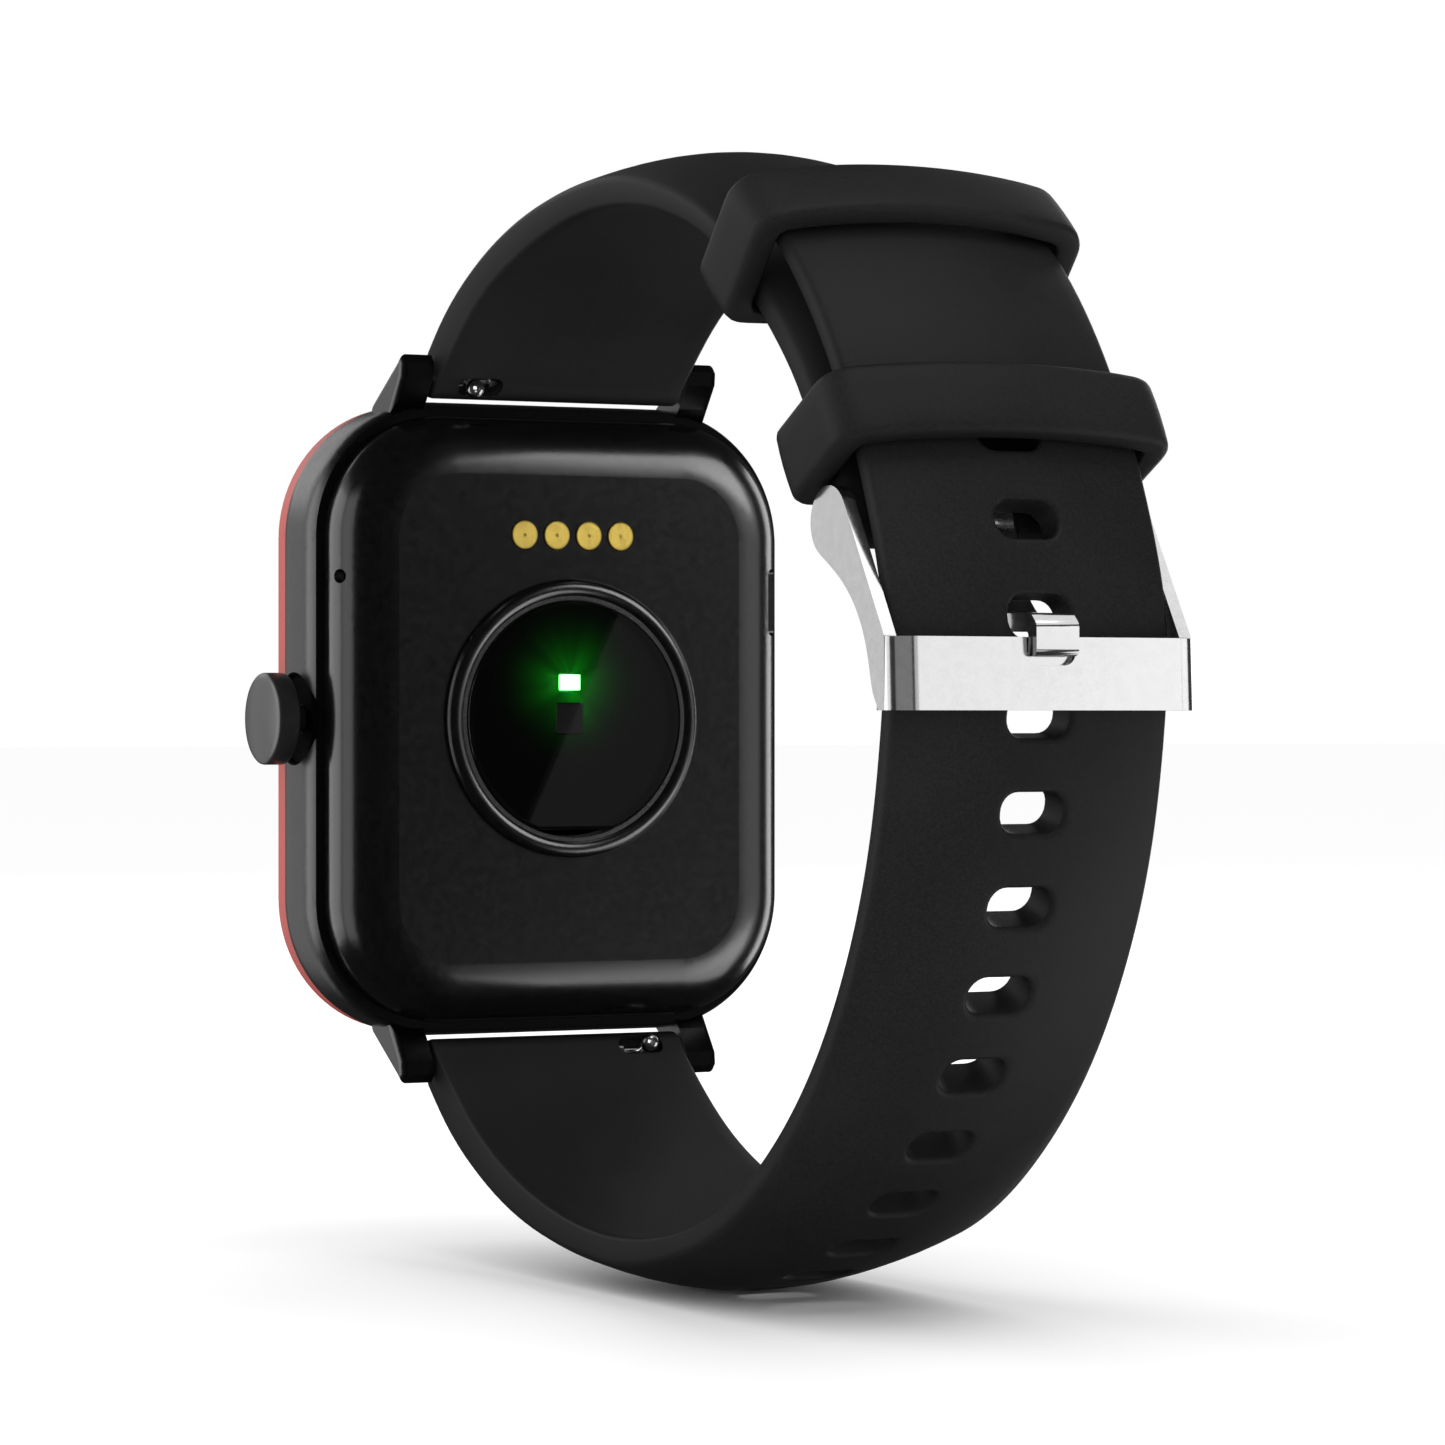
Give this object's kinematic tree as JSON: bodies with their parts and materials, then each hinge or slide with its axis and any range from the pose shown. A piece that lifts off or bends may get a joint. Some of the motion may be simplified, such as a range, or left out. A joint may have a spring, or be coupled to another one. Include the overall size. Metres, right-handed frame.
{
  "type": "smartwatch",
  "caption": "Square smartwatch on a buckled silicone strap: black case with red accent ring, rear heart-rate sensor, crown, quick-release bars, keepers and pin buckle.",
  "frame": {"origin": "centre of the rear sensor glass, where the watch meets the wrist", "axes": "+Z to 12 o'clock, +X to the crown side, +Y out of the sensor glass, through the wrist to the buckle; the display faces -Y"},
  "size_m": [0.0403, 0.0758, 0.0759],
  "materials": {
    "frame_finish": "satin black, fine sand texture",
    "ring_finish": "satin red anodised look",
    "screen_glass": "polished black-backed glass",
    "display": "dark display panel",
    "cover_plastic": "semi-gloss black with fine grain",
    "sensor_glass": "dark tinted glass",
    "sensor_trim": "satin black",
    "baffle": "matt black",
    "led": "lit, white-green",
    "diode": "dark silicon",
    "board": "green solder mask",
    "contact_gold": "gold plated, turned",
    "steel": "plain steel",
    "chrome": "polished",
    "chip": "moulded epoxy",
    "inner_plastic": "glass-filled moulding",
    "pouch": "laminate pouch",
    "flex": "amber polyimide",
    "mesh": "fine black mesh",
    "seal": "moulded seal",
    "crown_finish": "satin black",
    "silicone": "soft matt silicone"
  },
  "bodies": {
    "watch": {"mid_frame": "frame_finish", "accent_ring": "ring_finish", "cover_glass": "screen_glass", "display_gasket": "seal", "display_panel": "display", "back_cover": "cover_plastic", "back_gasket": "seal", "sensor_lens": "sensor_glass", "sensor_ring": "sensor_trim", "sensor_baffle": "baffle", "heart_rate_led": "led", "photodiode": "diode", "sensor_board": "board", "charge_contacts": "contact_gold", "inner_chassis": "inner_plastic", "main_board": "board", "board_screws": "steel", "shield_can": "steel", "board_chips": "chip", "microphone": "steel", "battery": "pouch", "display_flex": "flex", "vibration_motor": "steel", "speaker": "inner_plastic", "speaker_mesh": "mesh", "crown_switch": "inner_plastic", "strap_long": "silicone", "strap_short": "silicone", "spring_bar_tube_top": "steel", "fixed_tip_top": "steel", "release_spring_top": "steel", "spring_bar_tube_bottom": "steel", "fixed_tip_bottom": "steel", "release_spring_bottom": "steel"},
    "crown_slider": {"crown_clip": "steel", "switch_plunger": "inner_plastic"},
    "crown_knob": {"crown": "crown_finish", "crown_seals": "seal"},
    "release_top": {"release_tip_top": "chrome"},
    "release_bottom": {"release_tip_bottom": "chrome"},
    "buckle": {"buckle_frame": "chrome", "buckle_pin": "steel"},
    "tongue": {"buckle_tongue": "chrome"},
    "lower_keeper_loop": {"lower_keeper": "silicone"},
    "upper_keeper_loop": {"upper_keeper": "silicone"},
    "motor_weight": {"motor_rotor": "steel"}
  },
  "joints": [
    {"name": "crown_press", "type": "slide", "parent": "watch", "child": "crown_slider", "axis": [-1, 0, 0], "range_m": [0, 0.0006], "stiffness_N_per_m": 800},
    {"name": "crown_spin", "type": "hinge", "parent": "crown_slider", "child": "crown_knob", "pos_m": [0.02, -0.0072, 0], "axis": [1, 0, 0], "continuous": true},
    {"name": "top_release", "type": "slide", "parent": "watch", "child": "release_top", "axis": [-1, 0, 0], "range_m": [0, 0.00115], "stiffness_N_per_m": 600, "deforming": ["release_spring_top"]},
    {"name": "bottom_release", "type": "slide", "parent": "watch", "child": "release_bottom", "axis": [1, 0, 0], "range_m": [0, 0.00115], "stiffness_N_per_m": 600, "deforming": ["release_spring_bottom"]},
    {"name": "buckle_swing", "type": "hinge", "parent": "watch", "child": "buckle", "pos_m": [0, 0.0561, 0.0119], "axis": [1, 0, 0], "range_deg": [0, 4]},
    {"name": "tongue_swing", "type": "hinge", "parent": "buckle", "child": "tongue", "pos_m": [0, 0.0561, 0.0119], "axis": [1, 0, 0], "range_deg": [0, 2]},
    {"name": "lower_keeper_slide", "type": "slide", "parent": "watch", "child": "lower_keeper_loop", "axis": [0, -0.4924, 0.8704], "range_m": [0, 0.0015]},
    {"name": "upper_keeper_slide", "type": "slide", "parent": "watch", "child": "upper_keeper_loop", "axis": [0, -0.766, 0.6428], "range_m": [-0.0015, 0.0005]},
    {"name": "motor_spin", "type": "hinge", "parent": "watch", "child": "motor_weight", "pos_m": [0.0085, -0.0073, 0.0112], "axis": [0, 1, 0], "continuous": true}
  ]
}
